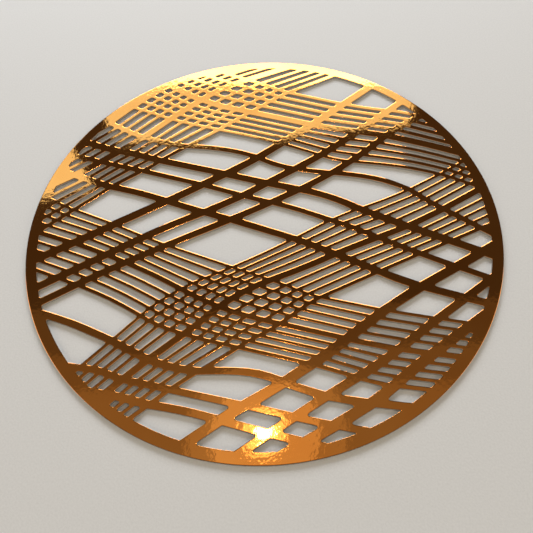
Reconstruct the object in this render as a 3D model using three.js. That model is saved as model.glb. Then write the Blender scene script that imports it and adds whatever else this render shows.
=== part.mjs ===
// An openwork disc cut from self-adhesive copper foil, lying flat with its backing card still on.
// Two families of flowing bars cross inside a plain rim, and every gap between them is an opening
// that goes through the foil and the card.
// Units are millimetres. The origin is the disc's centre on its underside, and +Z points up.
import * as THREE from 'three';

// ---- driving dimensions ----
const discRadius = 150;
const rimWidth = 6.5;
const cardThickness = 1.65;
const foilThickness = 0.15; // the copper with its coat of adhesive
const rimSegments = 96; // straight facets round the disc, and round the inside of the rim
const smallestArea = 6; // square mm; a gap that the rim cuts smaller than this stays solid
const narrowestGap = 1.1; // a gap thinner than this stays solid too
const allowedSagitta = 0.45; // how far a straight facet may stand off a curved bar
const closestPoints = 0.25; // outline points nearer than this are one point
const drawnRadius = 150; // the disc radius at which the points below are drawn

// Each bar is a smooth curve through its points, which run from left to right. strands is the
// number of thin bars that share the space up to the next bar, with equal gaps between them.

// The rising bars, from the lower right of the disc to the upper left.
const risingFamily = {
  angle: 30,
  opensBefore: true,
  opensAfter: false, // the last bar is only the outer edge of its strands' openings
  bars: [
    {
      width: 6, strands: 0,
      through: [[28, -136], [50, -124], [66, -114], [81, -102], [92, -94], [106, -84], [122, -73]],
    },
    {
      width: 5, strands: 0,
      through: [
        [-3, -139], [11, -130], [27, -120], [45, -109], [62, -99], [82, -85],
        [98, -73], [126, -53],
      ],
    },
    {
      width: 6, strands: 0,
      through: [
        [-30, -133], [-15, -123], [5, -112], [20, -102], [37, -91], [58, -75],
        [80, -59], [126, -32],
      ],
    },
    {
      width: 2.5, strands: 3, strandWidth: 2,
      through: [
        [-67, -124], [-42, -105], [-22, -93], [-9, -84], [7, -75], [31, -58], [50, -49],
        [82, -34], [127, -14],
      ],
    },
    {
      width: 4.5, strands: 3, strandWidth: 2,
      through: [
        [-80, -108], [-70, -99], [-53, -85], [-38, -73], [-22, -59], [-6, -49], [25, -36], [57, -21],
        [82, -11], [104, -1], [130, 14],
      ],
    },
    {
      width: 2, strands: 0,
      through: [
        [-94, -90], [-78, -74], [-64, -60], [-43, -46], [-21, -36], [0, -26], [32, -8], [52, 3], [80, 14],
        [108, 28], [128, 40],
      ],
    },
    {
      width: 5, strands: 0,
      through: [
        [-125, -52], [-104, -40], [-75, -25], [-40, -8], [-8, 7], [13, 18], [35, 30], [53, 42], [71, 56],
        [93, 75], [110, 86],
      ],
    },
    {
      width: 5.5, strands: 0,
      through: [
        [-133, -44], [-110, -31], [-89, -19], [-58, -2], [-24, 14], [-5, 25], [12, 36], [32, 48], [50, 61],
        [72, 78], [90, 93],
      ],
    },
    {
      width: 6, strands: 0,
      through: [
        [-132, -21], [-110, -9], [-80, 8], [-52, 23], [-34, 34], [-13, 46], [5, 59], [22, 72], [39, 85],
        [57, 100],
      ],
    },
    {
      width: 3, strands: 3, strandWidth: 2.5,
      through: [
        [-136, 2], [-113, 21], [-93, 37], [-77, 47], [-64, 58], [-42, 72], [-22, 87], [-4, 100], [16, 114],
        [38, 125],
      ],
    },
    {
      width: 5.5, strands: 3, strandWidth: 2.5,
      through: [
        [-133, 39], [-120, 47], [-106, 58], [-94, 67], [-77, 82], [-64, 95], [-50, 107], [-34, 120],
        [-15, 130], [0, 136],
      ],
    },
    {
      width: 0, strands: 0,
      through: [[-134, 68], [-112, 86], [-97, 102], [-76, 121], [-45, 138], [-20, 149]],
    },
  ],
};

// The falling bars, from the lower left of the disc to the upper right.
const fallingFamily = {
  angle: -22,
  opensBefore: true,
  opensAfter: true,
  bars: [
    {
      width: 4.5, strands: 0,
      through: [[-88, -112], [-77, -114], [-62, -118], [-40, -122], [-8, -131], [12, -136]],
    },
    {
      width: 4, strands: 0,
      through: [
        [-104, -97], [-91, -99], [-77, -104], [-55, -109], [-30, -115], [3, -122],
        [27, -128], [48, -132],
      ],
    },
    {
      width: 4.5, strands: 0,
      through: [
        [-132, -63], [-120, -67], [-105, -72], [-92, -78], [-77, -86], [-58, -95], [-37, -100], [-20, -100],
        [0, -102], [22, -111], [45, -117], [70, -120],
      ],
    },
    {
      width: 2.5, strands: 3, strandWidth: 2,
      through: [
        [-134, -36], [-119, -42], [-95, -52], [-80, -60], [-62, -71], [-38, -80], [-15, -86], [5, -91],
        [42, -101], [62, -108], [84, -111],
      ],
    },
    {
      width: 3.5, strands: 3, strandWidth: 2,
      through: [
        [-135, -9], [-110, -18], [-92, -26], [-65, -39], [-39, -54], [-20, -63], [5, -71], [30, -77],
        [62, -86], [84, -90], [104, -93],
      ],
    },
    {
      width: 2, strands: 0,
      through: [
        [-140, 20], [-127, 13], [-110, 6], [-85, -6], [-68, -14], [-40, -26], [-14, -36], [11, -46],
        [29, -54], [50, -60], [86, -68], [108, -72],
      ],
    },
    {
      width: 5, strands: 0,
      through: [
        [-124, 39], [-104, 31], [-80, 24], [-50, 12], [-28, 4], [0, -6], [24, -16], [49, -28], [67, -37],
        [80, -44], [107, -54], [126, -60],
      ],
    },
    {
      width: 4, strands: 0,
      through: [
        [-117, 54], [-87, 45], [-60, 37], [-25, 25], [-3, 17], [20, 10], [35, 3], [56, -6], [79, -18],
        [105, -31], [127, -41],
      ],
    },
    {
      width: 5.5, strands: 0,
      through: [
        [-123, 70], [-107, 64], [-89, 59], [-75, 54], [-55, 48], [-40, 44], [-12, 35], [12, 28], [45, 18],
        [57, 11], [74, 2], [97, -9], [127, -23],
      ],
    },
    {
      width: 4, strands: 0,
      through: [
        [-109, 88], [-90, 77], [-75, 71], [-58, 66], [-40, 64], [-20, 60], [-8, 56], [8, 47], [33, 40],
        [62, 36], [78, 32], [92, 26], [110, 11], [133, -6],
      ],
    },
    {
      width: 2.5, strands: 3, strandWidth: 2.5,
      through: [
        [-94, 104], [-80, 98], [-72, 94], [-53, 87], [-34, 81], [-10, 74], [28, 60], [50, 50], [80, 45],
        [100, 41], [123, 33], [135, 27],
      ],
    },
    {
      width: 5.5, strands: 3, strandWidth: 3,
      through: [
        [-67, 125], [-51, 114], [-41, 109], [-31, 104], [-12, 98], [10, 91], [52, 78], [77, 73], [105, 65],
        [125, 57],
      ],
    },
    {
      width: 3, strands: 0,
      through: [[-28, 139], [-15, 133], [0, 126], [15, 118], [40, 109], [75, 98], [103, 92], [115, 87]],
    },
  ],
};

// ---- the bars as curves ----
function frameOf(family) {
  const angle = THREE.MathUtils.degToRad(family.angle);
  return {
    along: new THREE.Vector2(Math.cos(angle), Math.sin(angle)),
    across: new THREE.Vector2(-Math.sin(angle), Math.cos(angle)),
  };
}

const risingFrame = frameOf(risingFamily);
const fallingFrame = frameOf(fallingFamily);

// A bar's centre line, as its distance from the line through the disc's centre at any place along
// that line. Past its end points the bar runs straight on, to beyond the rim.
function centreLine(points, frame) {
  const scale = discRadius / drawnRadius;
  const overrun = 2 * discRadius;
  const drawn = points.map(([x, y]) => new THREE.Vector2(x, y).multiplyScalar(scale));
  const runOn = (end, inner) => end.clone().sub(inner).setLength(overrun).add(end);
  const first = runOn(drawn[0], drawn[1]);
  const last = runOn(drawn[drawn.length - 1], drawn[drawn.length - 2]);
  const whole = [first, ...drawn, last];
  const curve = new THREE.CubicInterpolant(
    whole.map((point) => point.dot(frame.along)),
    whole.map((point) => point.dot(frame.across)),
    1,
  );
  return (along) => curve.evaluate(along)[0];
}

// A bar that lies outside the disc, to bound the openings next to the rim.
function outerBound(offset) {
  return { width: 0, strands: 0, centre: () => offset };
}

// The family's openings from one side to the other, each as its lower and upper edge function.
function channelsOf(family, frame) {
  const bars = family.bars.map((bar) => ({ ...bar, centre: centreLine(bar.through, frame) }));
  if (family.opensBefore) bars.unshift(outerBound(-2 * discRadius));
  if (family.opensAfter) bars.push(outerBound(2 * discRadius));
  const channels = [];
  for (let k = 0; k + 1 < bars.length; k += 1) {
    const { strands, strandWidth = 0 } = bars[k];
    const from = (along) => bars[k].centre(along) + bars[k].width / 2;
    const to = (along) => bars[k + 1].centre(along) - bars[k + 1].width / 2;
    const gap = (along) => (to(along) - from(along) - strands * strandWidth) / (strands + 1);
    for (let m = 0; m <= strands; m += 1) {
      channels.push({
        lower: (along) => from(along) + m * (gap(along) + strandWidth),
        upper: (along) => from(along) + m * (gap(along) + strandWidth) + gap(along),
      });
    }
  }
  return channels;
}

// The point where an edge of a rising bar meets an edge of a falling one, found by repeated steps.
function crossing(risingEdge, fallingEdge) {
  const a = risingFrame.across;
  const b = fallingFrame.across;
  const determinant = a.x * b.y - a.y * b.x;
  const steps = 30;
  const point = new THREE.Vector2(0, 0);
  for (let step = 0; step < steps; step += 1) {
    const rising = risingEdge(point.dot(risingFrame.along));
    const falling = fallingEdge(point.dot(fallingFrame.along));
    point.set(rising * b.y - falling * a.y, falling * a.x - rising * b.x).divideScalar(determinant);
  }
  return point;
}

// The points of one side between two corners, without the last: straight where the bar is nearly
// straight, and with one or two more points where it curves.
function sidePoints(frame, edge, start, end) {
  const onEdge = (part) => {
    const along = THREE.MathUtils.lerp(start.dot(frame.along), end.dot(frame.along), part);
    return frame.along.clone().multiplyScalar(along).addScaledVector(frame.across, edge(along));
  };
  const middle = onEdge(1 / 2);
  const sagitta = middle.distanceTo(start.clone().lerp(end, 1 / 2));
  if (sagitta < allowedSagitta) return [start];
  // Halving a side makes its sagitta a quarter.
  if (sagitta < 4 * allowedSagitta) return [start, middle];
  return [start, onEdge(1 / 3), onEdge(2 / 3)];
}

// ---- the openings ----
// The part of an outline that lies inside the rim, whose inner edge is a regular polygon.
function clipToRim(outline, radius) {
  let points = outline;
  for (let k = 0; k < rimSegments; k += 1) {
    const angle = ((k + 1 / 2) / rimSegments) * 2 * Math.PI;
    const normal = new THREE.Vector2(Math.cos(angle), Math.sin(angle));
    const reach = radius * Math.cos(Math.PI / rimSegments);
    const kept = [];
    points.forEach((point, i) => {
      const next = points[(i + 1) % points.length];
      const here = reach - point.dot(normal);
      const there = reach - next.dot(normal);
      if (here >= 0) kept.push(point);
      if ((here > 0 && there < 0) || (here < 0 && there > 0)) {
        kept.push(point.clone().lerp(next, here / (here - there)));
      }
    });
    points = kept;
    if (points.length < 3) return [];
  }
  return points;
}

// Leaves out points that are on top of each other, which would make slivers in the faces.
function withoutDoubles(points) {
  return points.filter((point, i) => point.distanceTo(points[(i + 1) % points.length]) > closestPoints);
}

function openingOutlines() {
  const innerRadius = discRadius - rimWidth;
  const outlines = [];
  for (const row of channelsOf(risingFamily, risingFrame)) {
    for (const column of channelsOf(fallingFamily, fallingFrame)) {
      const south = crossing(row.lower, column.lower);
      const east = crossing(row.lower, column.upper);
      const north = crossing(row.upper, column.upper);
      const west = crossing(row.upper, column.lower);
      const outline = [
        ...sidePoints(risingFrame, row.lower, south, east),
        ...sidePoints(fallingFrame, column.upper, east, north),
        ...sidePoints(risingFrame, row.upper, north, west),
        ...sidePoints(fallingFrame, column.lower, west, south),
      ];
      const clipped = withoutDoubles(clipToRim(outline, innerRadius));
      if (clipped.length < 3) continue;
      const area = THREE.ShapeUtils.area(clipped);
      const spread = new THREE.Box2().setFromPoints(clipped).getSize(new THREE.Vector2()).length();
      if (area > smallestArea && area / spread > narrowestGap) outlines.push(clipped);
    }
  }
  return outlines;
}

// ---- the sheets ----
function discShape(outlines) {
  const rim = [];
  for (let k = 0; k < rimSegments; k += 1) {
    const angle = (k / rimSegments) * 2 * Math.PI;
    rim.push(new THREE.Vector2(discRadius * Math.cos(angle), discRadius * Math.sin(angle)));
  }
  const shape = new THREE.Shape(rim);
  shape.holes = outlines.map((outline) => new THREE.Path(outline));
  return shape;
}

function sheet(name, shape, bottom, thickness, material) {
  const geometry = new THREE.ExtrudeGeometry(shape, {
    depth: thickness,
    bevelEnabled: false,
    curveSegments: 1,
  });
  const mesh = new THREE.Mesh(geometry, material);
  mesh.name = name;
  mesh.position.z = bottom;
  return mesh;
}

const copper = new THREE.MeshStandardMaterial({ color: 0xc77a2e, roughness: 0.12, metalness: 1 });
const greyCard = new THREE.MeshStandardMaterial({ color: 0xa8a59d, roughness: 0.85, metalness: 0 });

const disc = new THREE.Group();
const pattern = discShape(openingOutlines());
disc.add(sheet('backing_card', pattern, 0, cardThickness, greyCard));
disc.add(sheet('copper_foil', pattern, cardThickness, foilThickness, copper));

export default disc;
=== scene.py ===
import bpy
from math import cos, degrees, pi, radians, sin, tan
from mathutils import Matrix, Vector
from mathutils.geometry import delaunay_2d_cdt


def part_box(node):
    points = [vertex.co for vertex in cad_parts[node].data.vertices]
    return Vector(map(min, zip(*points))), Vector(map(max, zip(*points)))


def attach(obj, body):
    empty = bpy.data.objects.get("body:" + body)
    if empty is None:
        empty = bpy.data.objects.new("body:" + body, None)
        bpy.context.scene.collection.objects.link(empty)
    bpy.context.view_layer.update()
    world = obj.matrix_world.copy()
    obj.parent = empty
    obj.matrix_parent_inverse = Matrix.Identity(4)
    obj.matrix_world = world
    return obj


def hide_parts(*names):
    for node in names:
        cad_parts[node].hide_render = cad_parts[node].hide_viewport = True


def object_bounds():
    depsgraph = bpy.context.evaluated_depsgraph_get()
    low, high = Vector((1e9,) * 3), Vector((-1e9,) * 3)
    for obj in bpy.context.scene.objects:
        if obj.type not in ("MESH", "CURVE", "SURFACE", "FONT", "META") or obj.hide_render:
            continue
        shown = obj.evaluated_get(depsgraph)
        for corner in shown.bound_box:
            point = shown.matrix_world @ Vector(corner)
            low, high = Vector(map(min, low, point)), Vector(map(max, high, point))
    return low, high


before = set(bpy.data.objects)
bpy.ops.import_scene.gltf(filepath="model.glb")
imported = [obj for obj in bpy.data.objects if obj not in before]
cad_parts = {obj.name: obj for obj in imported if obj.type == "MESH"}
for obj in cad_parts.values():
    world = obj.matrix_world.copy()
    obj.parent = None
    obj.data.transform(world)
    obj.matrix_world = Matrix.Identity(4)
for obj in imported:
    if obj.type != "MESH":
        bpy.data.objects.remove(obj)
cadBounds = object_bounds()
foilLow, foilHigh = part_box("copper_foil")
cardLow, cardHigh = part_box("backing_card")
discRadius = foilHigh.x
mm = 0.001

sheetEdges = {
    "cornerRadius": 1.3 * mm,     # the round that a cutter leaves in an opening's corners
    "cornerSteps": 4,
    "cornerTurn": radians(25),    # a smaller turn is a curved side and not a corner
    "curveSteps": 2,              # steps that ease one facet of a curved side into the next
    "sideShare": 0.48,            # the most of a side that one corner may use
    "longestStep": 6 * mm,
    "rimSteps": 480,
    "rollWidth": 0.3 * mm,        # the cut rolls the surface down over this width
    "rollDrop": 0.08 * mm,
    "meshSpacing": 3.5 * mm,
    "gridMargin": 0.6 * mm,       # the inner points stay this far in from the rim
    "mergeDistance": 0.001 * mm,
    "levelTolerance": 0.01 * mm,
    "sharpAngle": radians(50),
    "facingLimit": 0.5,           # a face tilted less than this faces up or down
}
# How far in from the cut edge each ring of points lies, and how much of the drop it has.
# The last ring keeps the flat part's shading flat.
rollProfile = [(0.0, 1.0), (0.35, 0.4), (1.0, 0.0), (1.3, 0.0)]
placeDigits = 6  # points that agree to this many digits of a metre are one point
planTolerance = 1e-7


def topOutlines(node):
    # The closed outlines round the node's top face, as lists of flat points.
    mesh = node.data
    top = max(v.co.z for v in mesh.vertices) - sheetEdges["levelTolerance"]
    keys = {}
    for v in mesh.vertices:
        keys[v.index] = (round(v.co.x, placeDigits), round(v.co.y, placeDigits), v.co.z > top)
    sides = {}
    for polygon in mesh.polygons:
        corners = [keys[i] for i in polygon.vertices]
        if not all(corner[2] for corner in corners):
            continue
        for a, b in zip(corners, corners[1:] + corners[:1]):
            if (b, a) in sides:
                del sides[(b, a)]
            else:
                sides[(a, b)] = True
    following = {a: b for a, b in sides}
    outlines = []
    while following:
        start, here = following.popitem()
        outline = [start]
        while here != start:
            outline.append(here)
            here = following.pop(here)
        outlines.append([Vector(point[:2]) for point in outline])
    return outlines


def signedArea(points):
    return sum(a.x * b.y - b.x * a.y for a, b in zip(points, points[1:] + points[:1])) / 2


def withoutLongSteps(points):
    result = []
    for a, b in zip(points, points[1:] + points[:1]):
        pieces = int((b - a).length / sheetEdges["longestStep"]) + 1
        result += [a.lerp(b, k / pieces) for k in range(pieces)]
    return result


def roundedOutline(points):
    # Corners become short curves, and the points along a curved side are eased into one another.
    eased = []
    count = len(points)
    for i, point in enumerate(points):
        back = points[i - 1] - point
        ahead = points[(i + 1) % count] - point
        turn = pi - back.angle(ahead)
        most = sheetEdges["sideShare"] * min(back.length, ahead.length)
        isCorner = turn > sheetEdges["cornerTurn"]
        reach = min(most, sheetEdges["cornerRadius"] * tan(turn / 2)) if isCorner else most
        steps = sheetEdges["cornerSteps"] if isCorner else sheetEdges["curveSteps"]
        before = point + back.normalized() * reach
        after = point + ahead.normalized() * reach
        for k in range(steps + 1):
            t = k / steps
            eased.append(before * (1 - t) ** 2 + point * 2 * t * (1 - t) + after * t ** 2)
    return withoutLongSteps(eased)


def insetRing(points, distance):
    # Moves an outline into the material, which lies to its left.
    ring = []
    for i, point in enumerate(points):
        along = points[(i + 1) % len(points)] - points[i - 1]
        ring.append(point + Vector((-along.y, along.x)).normalized() * distance)
    return ring


def rimOutline():
    steps = sheetEdges["rimSteps"]
    angles = [2 * pi * k / steps for k in range(steps)]
    return [Vector((cos(a), sin(a))) * discRadius for a in angles]


def innerGrid():
    # Evenly spaced points over the whole disc, in rows that are shifted by turns.
    spacing = sheetEdges["meshSpacing"]
    rowHeight = spacing * sin(pi / 3)
    reach = discRadius - sheetEdges["gridMargin"]
    rows = int(reach / rowHeight)
    columns = int(reach / spacing) + 1
    points = []
    for row in range(-rows, rows + 1):
        shift = spacing / 2 if row % 2 else 0
        for column in range(-columns, columns + 1):
            point = Vector((column * spacing + shift, row * rowHeight))
            if point.length < reach:
                points.append(point)
    return points


def materialFaces(edges, ownEdges, faces, rimVertex):
    # The triangles joined to the rim without crossing the outline of an opening.
    walls = {tuple(sorted(edge)) for edge, own in zip(edges, ownEdges) if own}
    besides = {}
    for f, face in enumerate(faces):
        for a, b in zip(face, face[1:] + face[:1]):
            besides.setdefault(tuple(sorted((a, b))), []).append(f)
    start = next(f for f, face in enumerate(faces) if rimVertex in face)
    kept, waiting = {start}, [start]
    while waiting:
        face = faces[waiting.pop()]
        for a, b in zip(face, face[1:] + face[:1]):
            side = tuple(sorted((a, b)))
            if side in walls:
                continue
            for other in besides[side]:
                if other not in kept:
                    kept.add(other)
                    waiting.append(other)
    return [faces[f] for f in kept]


def edgeRings(outlines):
    # The rings of points round every cut edge, the faces between them, and each innermost ring.
    points, faces, innermost = [], [], []
    for outline in outlines:
        count = len(outline)
        starts = []
        for inward, share in rollProfile:
            starts.append(len(points))
            ring = insetRing(outline, inward * sheetEdges["rollWidth"])
            points += [(p.x, p.y, share) for p in ring]
        for outer, inner in zip(starts, starts[1:]):
            for i in range(count):
                j = (i + 1) % count
                faces.append((outer + i, outer + j, inner + j, inner + i))
        innermost.append(list(range(starts[-1], starts[-1] + count)))
    return points, faces, innermost


def discPlan():
    # Points as (x, y, share of the drop), and the faces that join them.
    outlines = topOutlines(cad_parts["copper_foil"])
    outlines.remove(max(outlines, key=lambda outline: abs(signedArea(outline))))
    holes = [roundedOutline(outline) for outline in outlines]
    holes = [hole if signedArea(hole) < 0 else hole[::-1] for hole in holes]
    points, faces, innermost = edgeRings([rimOutline()] + holes)
    innerPoints, innerSides = [], []
    for ring in innermost:
        first, count = len(innerPoints), len(ring)
        innerPoints += ring
        innerSides += [(first + i, first + (i + 1) % count) for i in range(count)]
    flat = [Vector(points[i][:2]) for i in innerPoints] + innerGrid()
    verts, edges, triangles, ownVerts, ownEdges, _ = delaunay_2d_cdt(
        flat, innerSides, [], 0, planTolerance)
    rimVertex = next(i for i, own in enumerate(ownVerts) if 0 in own)
    kept = materialFaces(edges, ownEdges, [list(t) for t in triangles], rimVertex)
    places = {}
    for triangle in kept:
        corners = []
        for i in triangle:
            if i not in places:
                ringPoint = next((own for own in ownVerts[i] if own < len(innerPoints)), None)
                if ringPoint is None:
                    places[i] = len(points)
                    points.append((verts[i].x, verts[i].y, 0.0))
                else:
                    places[i] = innerPoints[ringPoint]
            corners.append(places[i])
        faces.append(tuple(corners))
    return points, faces


def planMesh():
    points, faces = discPlan()
    mesh = bpy.data.meshes.new("discPlan")
    mesh.from_pydata([(x, y, 0) for x, y, share in points], [], faces)
    shares = mesh.attributes.new("rollShare", "FLOAT", "POINT")
    shares.data.foreach_set("value", [share for x, y, share in points])
    return mesh


def mathNode(tree, operation, *inputs):
    node = tree.nodes.new("ShaderNodeMath")
    node.operation = operation
    for socket, value in zip(node.inputs, inputs):
        if isinstance(value, (int, float)):
            socket.default_value = value
        else:
            tree.links.new(value, socket)
    return node.outputs["Value"]


def sheetTree():
    # A flat plan becomes a sheet of even thickness whose cut edges are rolled down.
    tree = bpy.data.node_groups.new("cutSheet", "GeometryNodeTree")
    socket = tree.interface.new_socket
    socket("Plan", in_out="INPUT", socket_type="NodeSocketGeometry")
    for label in ("Base Height", "Thickness", "Top Drop", "Base Drop", "Other Side"):
        socket(label, in_out="INPUT", socket_type="NodeSocketFloat")
    for label in ("Finish", "Other Finish"):
        socket(label, in_out="INPUT", socket_type="NodeSocketMaterial")
    socket("Sheet", in_out="OUTPUT", socket_type="NodeSocketGeometry")
    nodes, link = tree.nodes, tree.links.new
    given, result = nodes.new("NodeGroupInput"), nodes.new("NodeGroupOutput")

    extrude = nodes.new("GeometryNodeExtrudeMesh")
    extrude.inputs["Individual"].default_value = False
    extrude.inputs["Offset"].default_value = (0, 0, 1)
    flip = nodes.new("GeometryNodeFlipFaces")
    join = nodes.new("GeometryNodeJoinGeometry")
    merge = nodes.new("GeometryNodeMergeByDistance")
    merge.inputs["Distance"].default_value = sheetEdges["mergeDistance"]
    link(given.outputs["Plan"], extrude.inputs["Mesh"])
    link(given.outputs["Thickness"], extrude.inputs["Offset Scale"])
    link(given.outputs["Plan"], flip.inputs["Mesh"])
    link(extrude.outputs["Mesh"], join.inputs["Geometry"])
    link(flip.outputs["Mesh"], join.inputs["Geometry"])
    link(join.outputs["Geometry"], merge.inputs["Geometry"])

    share = nodes.new("GeometryNodeInputNamedAttribute")
    share.data_type = "FLOAT"
    share.inputs["Name"].default_value = "rollShare"
    place = nodes.new("ShaderNodeSeparateXYZ")
    position = nodes.new("GeometryNodeInputPosition")
    link(position.outputs["Position"], place.inputs["Vector"])
    halfway = mathNode(tree, "DIVIDE", given.outputs["Thickness"], 2)
    isTop = mathNode(tree, "GREATER_THAN", place.outputs["Z"], halfway)
    dropGap = mathNode(tree, "SUBTRACT", given.outputs["Top Drop"], given.outputs["Base Drop"])
    topPart = mathNode(tree, "MULTIPLY", isTop, dropGap)
    drop = mathNode(tree, "ADD", topPart, given.outputs["Base Drop"])
    fall = mathNode(tree, "MULTIPLY", share.outputs["Attribute"], drop)
    rise = mathNode(tree, "SUBTRACT", given.outputs["Base Height"], fall)
    upward = nodes.new("ShaderNodeCombineXYZ")
    link(rise, upward.inputs["Z"])
    move = nodes.new("GeometryNodeSetPosition")
    link(merge.outputs["Geometry"], move.inputs["Geometry"])
    link(upward.outputs["Vector"], move.inputs["Offset"])

    realize = nodes.new("GeometryNodeRealizeInstances")
    finish = nodes.new("GeometryNodeSetMaterial")
    otherFinish = nodes.new("GeometryNodeSetMaterial")
    normal = nodes.new("GeometryNodeInputNormal")
    split = nodes.new("ShaderNodeSeparateXYZ")
    link(normal.outputs["Normal"], split.inputs["Vector"])
    facing = mathNode(tree, "MULTIPLY", split.outputs["Z"], given.outputs["Other Side"])
    isOther = mathNode(tree, "GREATER_THAN", facing, sheetEdges["facingLimit"])
    link(move.outputs["Geometry"], realize.inputs["Geometry"])
    link(realize.outputs["Geometry"], finish.inputs["Geometry"])
    link(given.outputs["Finish"], finish.inputs["Material"])
    link(finish.outputs["Geometry"], otherFinish.inputs["Geometry"])
    link(isOther, otherFinish.inputs["Selection"])
    link(given.outputs["Other Finish"], otherFinish.inputs["Material"])
    link(otherFinish.outputs["Geometry"], result.inputs["Sheet"])
    return tree


def makeSheet(name, plan, tree, values):
    piece = bpy.data.objects.new(name, plan)
    bpy.context.scene.collection.objects.link(piece)
    modifier = piece.modifiers.new("sheet", "NODES")
    modifier.node_group = tree
    for item in tree.interface.items_tree:
        if item.in_out == "INPUT" and item.name in values:
            modifier[item.identifier] = values[item.name]
    evaluated = piece.evaluated_get(bpy.context.evaluated_depsgraph_get())
    mesh = bpy.data.meshes.new_from_object(evaluated)
    piece.modifiers.clear()
    piece.data = mesh
    mesh.shade_smooth()
    mesh.set_sharp_from_angle(angle=sheetEdges["sharpAngle"])
    mesh.calc_loop_triangles()
    print(name, "has", len(mesh.loop_triangles), "triangles")
    return piece


def noiseGroup(name, detail, stretch=(1, 1, 1)):
    # Noise on Object coordinates, with its feature size and its depth in metres.
    group = bpy.data.node_groups.new(name, "ShaderNodeTree")
    for label in ("Size", "Depth", "Seed"):
        group.interface.new_socket(label, in_out="INPUT", socket_type="NodeSocketFloat")
    for label in ("Height", "Mask"):
        group.interface.new_socket(label, in_out="OUTPUT", socket_type="NodeSocketFloat")
    nodes, link = group.nodes, group.links.new
    given, result = nodes.new("NodeGroupInput"), nodes.new("NodeGroupOutput")
    place = nodes.new("ShaderNodeTexCoord")
    mapping = nodes.new("ShaderNodeMapping")
    mapping.inputs["Scale"].default_value = stretch
    noise = nodes.new("ShaderNodeTexNoise")
    noise.noise_dimensions = "4D"
    noise.inputs["Detail"].default_value = detail
    link(place.outputs["Object"], mapping.inputs["Vector"])
    link(mapping.outputs["Vector"], noise.inputs["Vector"])
    link(mathNode(group, "DIVIDE", 1, given.outputs["Size"]), noise.inputs["Scale"])
    link(given.outputs["Seed"], noise.inputs["W"])
    height = mathNode(group, "MULTIPLY", noise.outputs["Fac"], given.outputs["Depth"])
    link(height, result.inputs["Height"])
    link(noise.outputs["Fac"], result.inputs["Mask"])
    return group


def placeGroup(material, group, size, depth=0.001, seed=0):
    node = material.node_tree.nodes.new("ShaderNodeGroup")
    node.node_tree = group
    node.inputs["Size"].default_value = size
    node.inputs["Depth"].default_value = depth
    node.inputs["Seed"].default_value = seed
    return node


def newMaterial(name):
    material = bpy.data.materials.new(name)
    material.use_nodes = True
    return material, material.node_tree.nodes["Principled BSDF"]


def colourBlend(material, mask, colours, span):
    ramp = material.node_tree.nodes.new("ShaderNodeValToRGB")
    for element, colour, position in zip(ramp.color_ramp.elements, colours, span):
        element.position = position
        element.color = colour
    material.node_tree.links.new(mask, ramp.inputs["Fac"])
    return ramp.outputs["Color"]


def bumpFrom(material, height, normal=None):
    bump = material.node_tree.nodes.new("ShaderNodeBump")
    bump.inputs["Distance"].default_value = 1
    material.node_tree.links.new(height, bump.inputs["Height"])
    if normal:
        material.node_tree.links.new(normal, bump.inputs["Normal"])
    return bump.outputs["Normal"]


scratchStretch = (0.05, 1.4, 1)
evenNoise = noiseGroup("evenNoise", detail=2)
broadWaves = noiseGroup("broadWaves", detail=0)
longScratches = noiseGroup("longScratches", detail=3, stretch=scratchStretch)

copperLook = {
    "colours": [(0.88, 0.32, 0.058, 1), (0.95, 0.37, 0.075, 1)],
    "colourSpan": (0.35, 0.6),
    "patchSize": 0.045,
    "roughness": 0.03,
    "rubbedRoughness": 0.075,
    "rubbedSpan": (0.45, 0.75),
    "waveSize": 0.085,
    "waveDepth": 0.9 * mm,
    "waveSeed": 4.0,
    "peelSize": 2.6 * mm,
    "peelDepth": 0.03 * mm,
    "scratchSize": 0.6 * mm,
    "scratchDepth": 0.0008 * mm,
}


def copperMaterial():
    material, shader = newMaterial("polishedCopper")
    link = material.node_tree.links.new
    look = copperLook
    patches = placeGroup(material, evenNoise, look["patchSize"])
    waves = placeGroup(material, broadWaves, look["waveSize"], look["waveDepth"], look["waveSeed"])
    peel = placeGroup(material, evenNoise, look["peelSize"], look["peelDepth"])
    scratches = placeGroup(material, longScratches, look["scratchSize"], look["scratchDepth"])
    colour = colourBlend(material, patches.outputs["Mask"], look["colours"], look["colourSpan"])
    link(colour, shader.inputs["Base Color"])
    roughness = material.node_tree.nodes.new("ShaderNodeMapRange")
    low, high = look["rubbedSpan"]
    roughness.inputs["From Min"].default_value = low
    roughness.inputs["From Max"].default_value = high
    roughness.inputs["To Min"].default_value = look["roughness"]
    roughness.inputs["To Max"].default_value = look["rubbedRoughness"]
    link(scratches.outputs["Mask"], roughness.inputs["Value"])
    link(roughness.outputs["Result"], shader.inputs["Roughness"])
    normal = bumpFrom(material, waves.outputs["Height"])
    normal = bumpFrom(material, peel.outputs["Height"], normal)
    normal = bumpFrom(material, scratches.outputs["Height"], normal)
    link(normal, shader.inputs["Normal"])
    shader.inputs["Metallic"].default_value = 1
    return material


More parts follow.
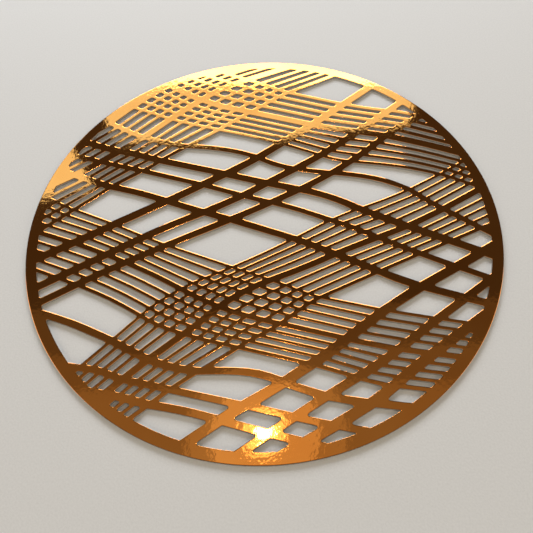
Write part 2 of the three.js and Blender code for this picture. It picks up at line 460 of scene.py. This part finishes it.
mottleSpan = (0.3, 0.7)
adhesiveLook = {
    "name": "adhesiveCoat",
    "colours": [(0.60, 0.40, 0.20, 1), (0.72, 0.52, 0.30, 1)],
    "grainSize": 6 * mm,
    "grainDepth": 0.01 * mm,
    "roughness": 0.25,
}
cardLook = {
    "name": "greyCard",
    "colours": [(0.27, 0.26, 0.24, 1), (0.42, 0.41, 0.38, 1)],
    "grainSize": 0.9 * mm,
    "grainDepth": 0.03 * mm,
    "roughness": 0.85,
}
releaseLook = {
    "name": "releaseCoat",
    "colours": [(0.55, 0.54, 0.50, 1), (0.62, 0.61, 0.57, 1)],
    "grainSize": 4 * mm,
    "grainDepth": 0.006 * mm,
    "roughness": 0.4,
}
floorLook = {
    "name": "paleFloor",
    "colours": [(0.75, 0.75, 0.74, 1), (0.80, 0.80, 0.79, 1)],
    "grainSize": 1.1 * mm,
    "grainDepth": 0.06 * mm,
    "roughness": 0.9,
    "halfSize": 1.25,
    "gap": 0.02 * mm,  # keeps the floor clear of the disc's underside
}


def mottledMaterial(look):
    # Two close colours in fine noise, which also gives the surface its relief.
    material, shader = newMaterial(look["name"])
    link = material.node_tree.links.new
    grain = placeGroup(material, evenNoise, look["grainSize"], look["grainDepth"])
    colour = colourBlend(material, grain.outputs["Mask"], look["colours"], mottleSpan)
    link(colour, shader.inputs["Base Color"])
    link(bumpFrom(material, grain.outputs["Height"]), shader.inputs["Normal"])
    shader.inputs["Roughness"].default_value = look["roughness"]
    return material


# Distances in metres, angles in degrees from the far direction, brightness as radiance.
farPanel = {
    "distance": 1.3, "left": -26, "right": 21, "low": 14, "middle": 38.4, "high": 44.2,
    "glow": 8.5, "upperGlow": 1.05,
}
leftPanel = {"distance": 1.3, "left": -45, "right": -33.3, "low": 20, "high": 51, "glow": 1.05}
# Each overhead panel: the near and far ends, half the width, and the brightness.
overhead = {
    "height": 1.0,
    "step": 1 * mm,  # each overhead light hangs this much lower than the one before
    "panels": [(-0.4, 0.42, 0.7, 0.05), (-0.4, 0.3, 0.65, 0.06), (-0.4, 0.2, 0.6, 0.08)],
}
# The overhead lamp's rings, as radius and brightness.
lamp = {
    "place": (-0.033, 0.089),
    "rings": [(0.19, 0.14), (0.13, 0.3), (0.055, 1.4), (0.021, 34.0)],
}
softBoxes = {
    "distance": 1.5, "width": 1.2, "low": 6, "high": 40, "glow": 2.0, "angles": (95, 180, -95),
}
coolLight = (0.98, 1.0, 1.03)
coolEdge = (0.95, 1.3, 1.75)
warmLight = (1.0, 0.88, 0.70)


def placeLight(name, shape, size, energy, colour, place):
    light = bpy.data.lights.new(name, "AREA")
    light.shape = shape
    light.size, light.size_y = size
    light.energy = energy
    light.color = colour
    holder = bpy.data.objects.new(name, light)
    holder.matrix_world = place
    bpy.context.scene.collection.objects.link(holder)


def glowingPanel(name, corners, glow, colour):
    # A flat four-sided light whose brightness is the same all over.
    a, b, c, d = [Vector(corner) for corner in corners]
    across, up = b - a, d - a
    x, y = across.normalized(), up.normalized()
    turn = Matrix((x, y, x.cross(y))).transposed().to_4x4()
    size = (across.length, up.length)
    energy = glow * pi * size[0] * size[1]
    placeLight(name, "RECTANGLE", size, energy, colour, Matrix.Translation((a + c) / 2) @ turn)


def uprightPanel(name, panel, low, high, glow, colour, turned=0):
    # An upright panel at a distance, between two directions and two heights, facing the disc.
    distance = panel["distance"]
    x1, x2 = [distance * tan(radians(panel[side])) for side in ("left", "right")]
    z1, z2 = [distance * tan(radians(height)) for height in (low, high)]
    corners = [(x2, distance, z1), (x1, distance, z1), (x1, distance, z2), (x2, distance, z2)]
    spin = Matrix.Rotation(radians(-turned), 3, "Z")
    glowingPanel(name, [spin @ Vector(corner) for corner in corners], glow, colour)


def roundLamp(name, place, height, radius, glow):
    energy = glow * pi * pi * radius ** 2
    size = (2 * radius, 2 * radius)
    placeLight(name, "DISK", size, energy, warmLight, Matrix.Translation((*place, height)))


def makeLights():
    low, middle, high = farPanel["low"], farPanel["middle"], farPanel["high"]
    uprightPanel("farPanel", farPanel, low, middle, farPanel["glow"], coolLight)
    uprightPanel("farTop", farPanel, middle, high, farPanel["upperGlow"], coolEdge)
    uprightPanel("leftPanel", leftPanel, leftPanel["low"], leftPanel["high"], leftPanel["glow"], coolEdge)
    z = overhead["height"]
    for near, far, half, glow in overhead["panels"]:
        corners = [(-half, near, z), (half, near, z), (half, far, z), (-half, far, z)]
        glowingPanel("overheadPanel", corners, glow, warmLight)
        z -= overhead["step"]
    for radius, glow in lamp["rings"]:
        roundLamp("overheadLamp", lamp["place"], z, radius, glow)
        z -= overhead["step"]
    low, high, glow = softBoxes["low"], softBoxes["high"], softBoxes["glow"]
    spread = degrees(softBoxes["width"] / 2 / softBoxes["distance"])
    box = {"distance": softBoxes["distance"], "left": -spread, "right": spread}
    for angle in softBoxes["angles"]:
        uprightPanel(f"softBox{angle}", box, low, high, glow, warmLight, angle)


roomGlow = (0.056, 0.048, 0.045, 1)  # what the copper reflects between the panels
backdrop = (0.62, 0.62, 0.61, 1)     # what is seen behind the floor


def makeWorld():
    world = bpy.data.worlds.new("room")
    world.use_nodes = True
    nodes, link = world.node_tree.nodes, world.node_tree.links.new
    room = nodes["Background"]
    room.inputs["Color"].default_value = roomGlow
    plain = nodes.new("ShaderNodeBackground")
    plain.inputs["Color"].default_value = backdrop
    rays = nodes.new("ShaderNodeLightPath")
    mix = nodes.new("ShaderNodeMixShader")
    link(rays.outputs["Is Camera Ray"], mix.inputs["Fac"])
    link(room.outputs["Background"], mix.inputs[1])
    link(plain.outputs["Background"], mix.inputs[2])
    link(mix.outputs["Shader"], nodes["World Output"].inputs["Surface"])
    bpy.context.scene.world = world


def makeFloor():
    half = floorLook["halfSize"]
    corners = [(-half, -half, 0), (half, -half, 0), (half, half, 0), (-half, half, 0)]
    mesh = bpy.data.meshes.new("floor")
    mesh.from_pydata(corners, [], [(0, 1, 2, 3)])
    mesh.materials.append(mottledMaterial(floorLook))
    floor = bpy.data.objects.new("floor", mesh)
    floor.location.z = cadBounds[0].z - floorLook["gap"]
    bpy.context.scene.collection.objects.link(floor)


# Places in disc radii from the centre of the copper face, roll in degrees, the rest in mm.
viewPlace = {
    "camera": (0.088, -1.318, 1.872),
    "target": (0.021, -0.23, 0.0),
    "roll": -4.1,
    "sensor": 36,
    "lens": 36,
}


def makeCamera():
    faceCentre = Vector((0, 0, foilHigh.z))
    place = faceCentre + Vector(viewPlace["camera"]) * discRadius
    target = faceCentre + Vector(viewPlace["target"]) * discRadius
    data = bpy.data.cameras.new("camera")
    data.sensor_width = viewPlace["sensor"]
    data.lens = viewPlace["lens"]
    camera = bpy.data.objects.new("camera", data)
    aim = (target - place).to_track_quat("-Z", "Y").to_matrix().to_4x4()
    roll = Matrix.Rotation(radians(viewPlace["roll"]), 4, "Z")
    camera.matrix_world = Matrix.Translation(place) @ aim @ roll
    bpy.context.scene.collection.objects.link(camera)
    bpy.context.scene.camera = camera


makeCamera()
makeWorld()
makeFloor()
makeLights()
bpy.context.scene.view_settings.view_transform = "Standard"
print("room, lights and camera are in place")

plan = planMesh()
print("the plan has", len(plan.vertices), "points")
tree = sheetTree()
drop = sheetEdges["rollDrop"]

# Other Side says which side has the other finish: 1 is the top and -1 the underside.
card = makeSheet("grey_card_sheet", plan, tree, {
    "Base Height": cardLow.z,
    "Thickness": cardHigh.z - cardLow.z,
    "Top Drop": drop,
    "Base Drop": 0.0,
    "Other Side": 1.0,
    "Finish": mottledMaterial(cardLook),
    "Other Finish": mottledMaterial(releaseLook),
})
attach(card, "card")
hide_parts("backing_card")

foil = makeSheet("copper_face_sheet", plan, tree, {
    "Base Height": foilLow.z,
    "Thickness": foilHigh.z - foilLow.z,
    "Top Drop": drop,
    "Base Drop": drop,
    "Other Side": -1.0,
    "Finish": copperMaterial(),
    "Other Finish": mottledMaterial(adhesiveLook),
})
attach(foil, "foil")
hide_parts("copper_foil")
print("both sheets are made")
